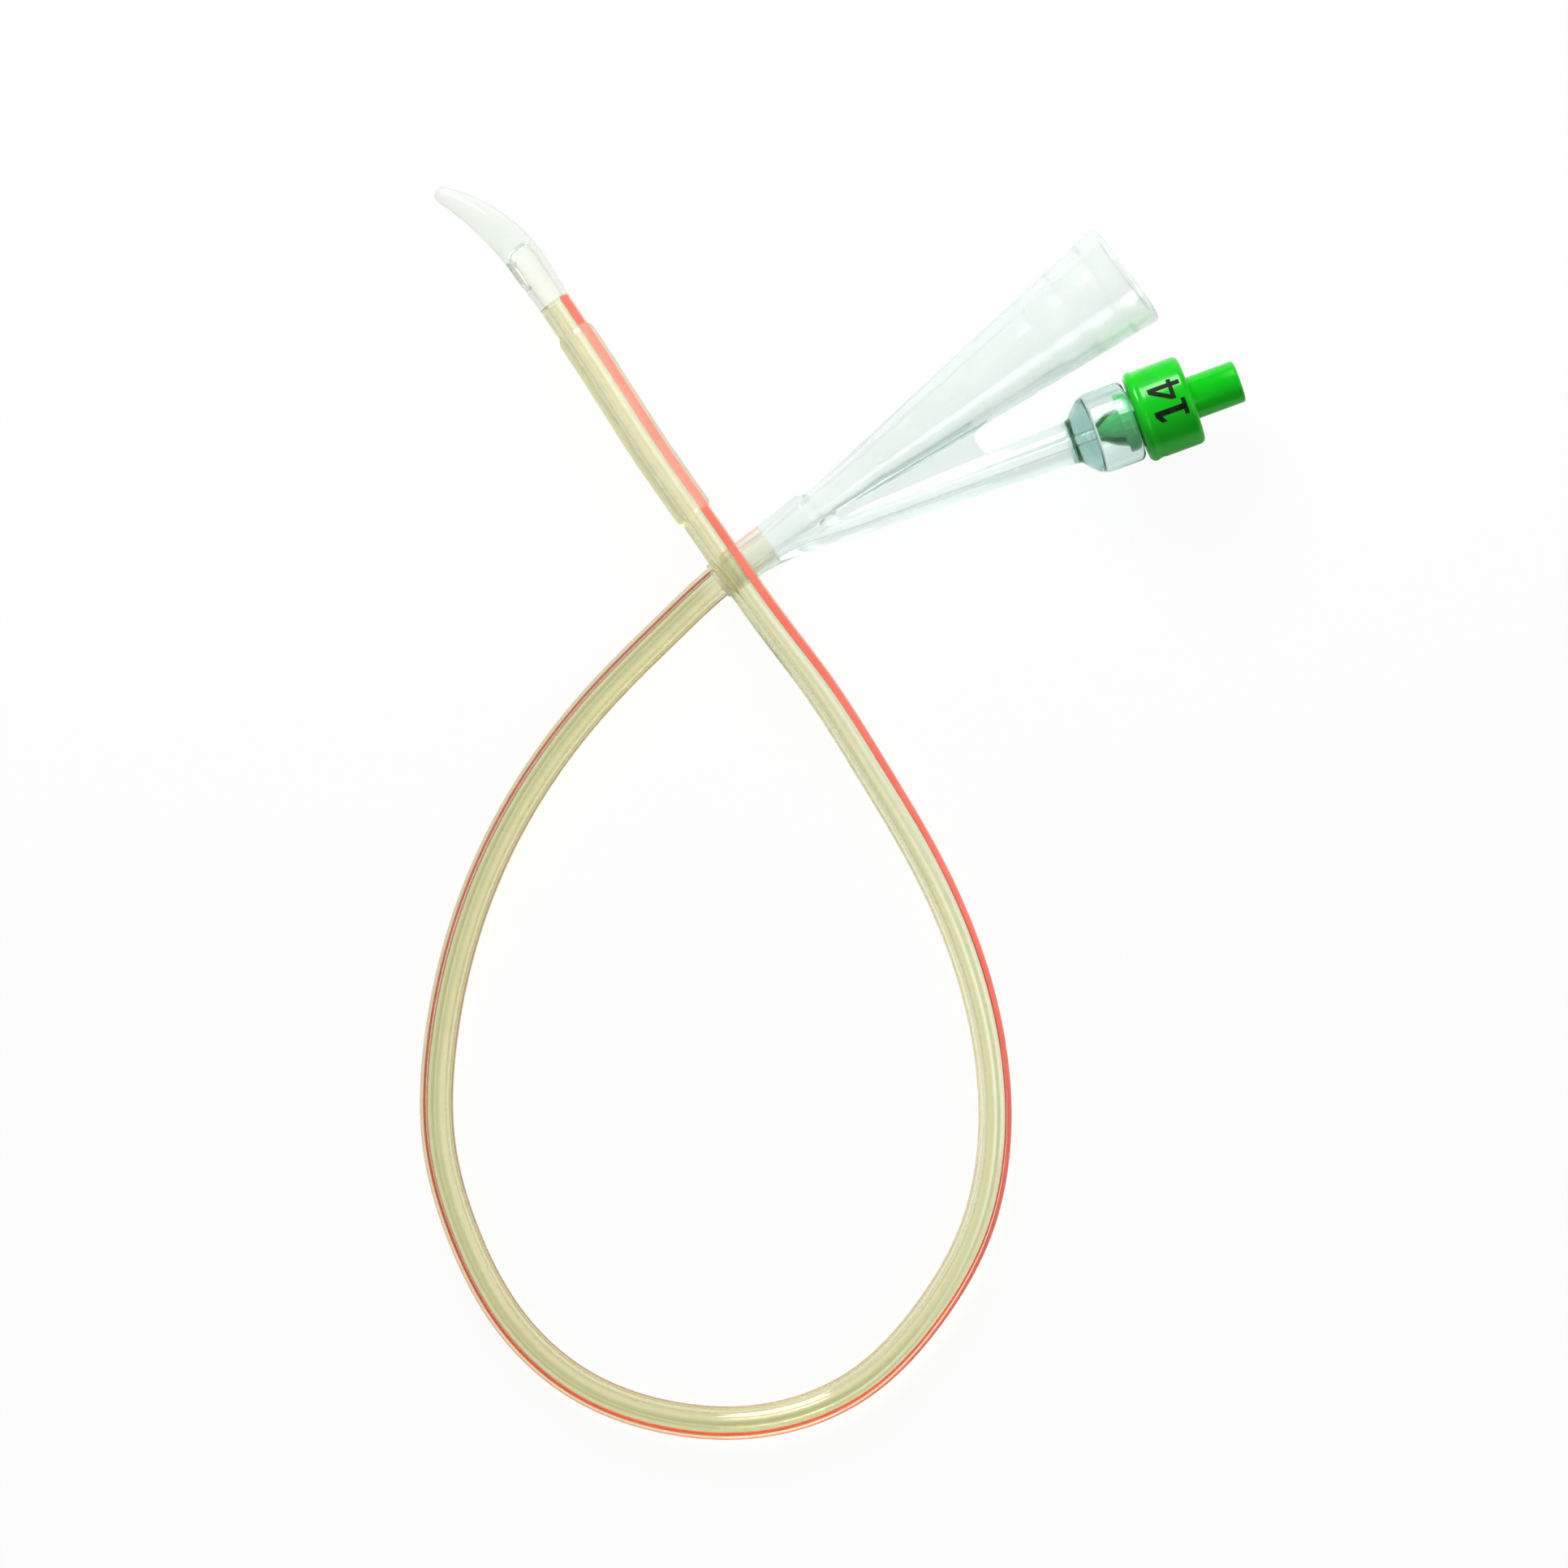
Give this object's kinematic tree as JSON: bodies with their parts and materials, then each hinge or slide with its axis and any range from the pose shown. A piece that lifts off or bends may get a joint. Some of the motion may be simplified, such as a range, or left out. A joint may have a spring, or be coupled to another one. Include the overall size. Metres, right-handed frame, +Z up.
{
  "type": "foley urinary catheter",
  "caption": "Silicone balloon catheter with a curved tip, a wide drainage funnel and a side arm with a sprung syringe valve, lying in a loop.",
  "frame": {"origin": "centre of the part's box in plan, on the surface that it lies on", "axes": "+Z up from the surface, +X along the drainage funnel in plan, towards its mouth"},
  "size_m": [0.1634, 0.1719, 0.0156],
  "materials": {
    "tube_silicone": "glossy",
    "x_ray_line_red": "satin",
    "clear_silicone": "glossy",
    "balloon_silicone": "matte",
    "cap_green": "glossy",
    "core_green": "satin",
    "plunger_white": "satin",
    "seal_grey": "matte",
    "spring_steel": "satin"
  },
  "bodies": {
    "catheter": {"shaft_tube": "tube_silicone", "x_ray_line": "x_ray_line_red", "curved_tip": "clear_silicone", "balloon_sleeve": "balloon_silicone", "y_funnel": "clear_silicone", "valve_cap": "cap_green", "valve_core": "core_green", "valve_spring": "spring_steel"},
    "plunger": {"valve_plunger": "plunger_white", "plunger_seal": "seal_grey"}
  },
  "joints": [
    {"name": "valve_plunger_slide", "type": "slide", "parent": "catheter", "child": "plunger", "axis": [-0.9544, 0.2907, -0.0682], "range_m": [0, 0.0015], "stiffness_N_per_m": 500, "springref_m": -0.002, "deforming": ["valve_spring"]}
  ]
}
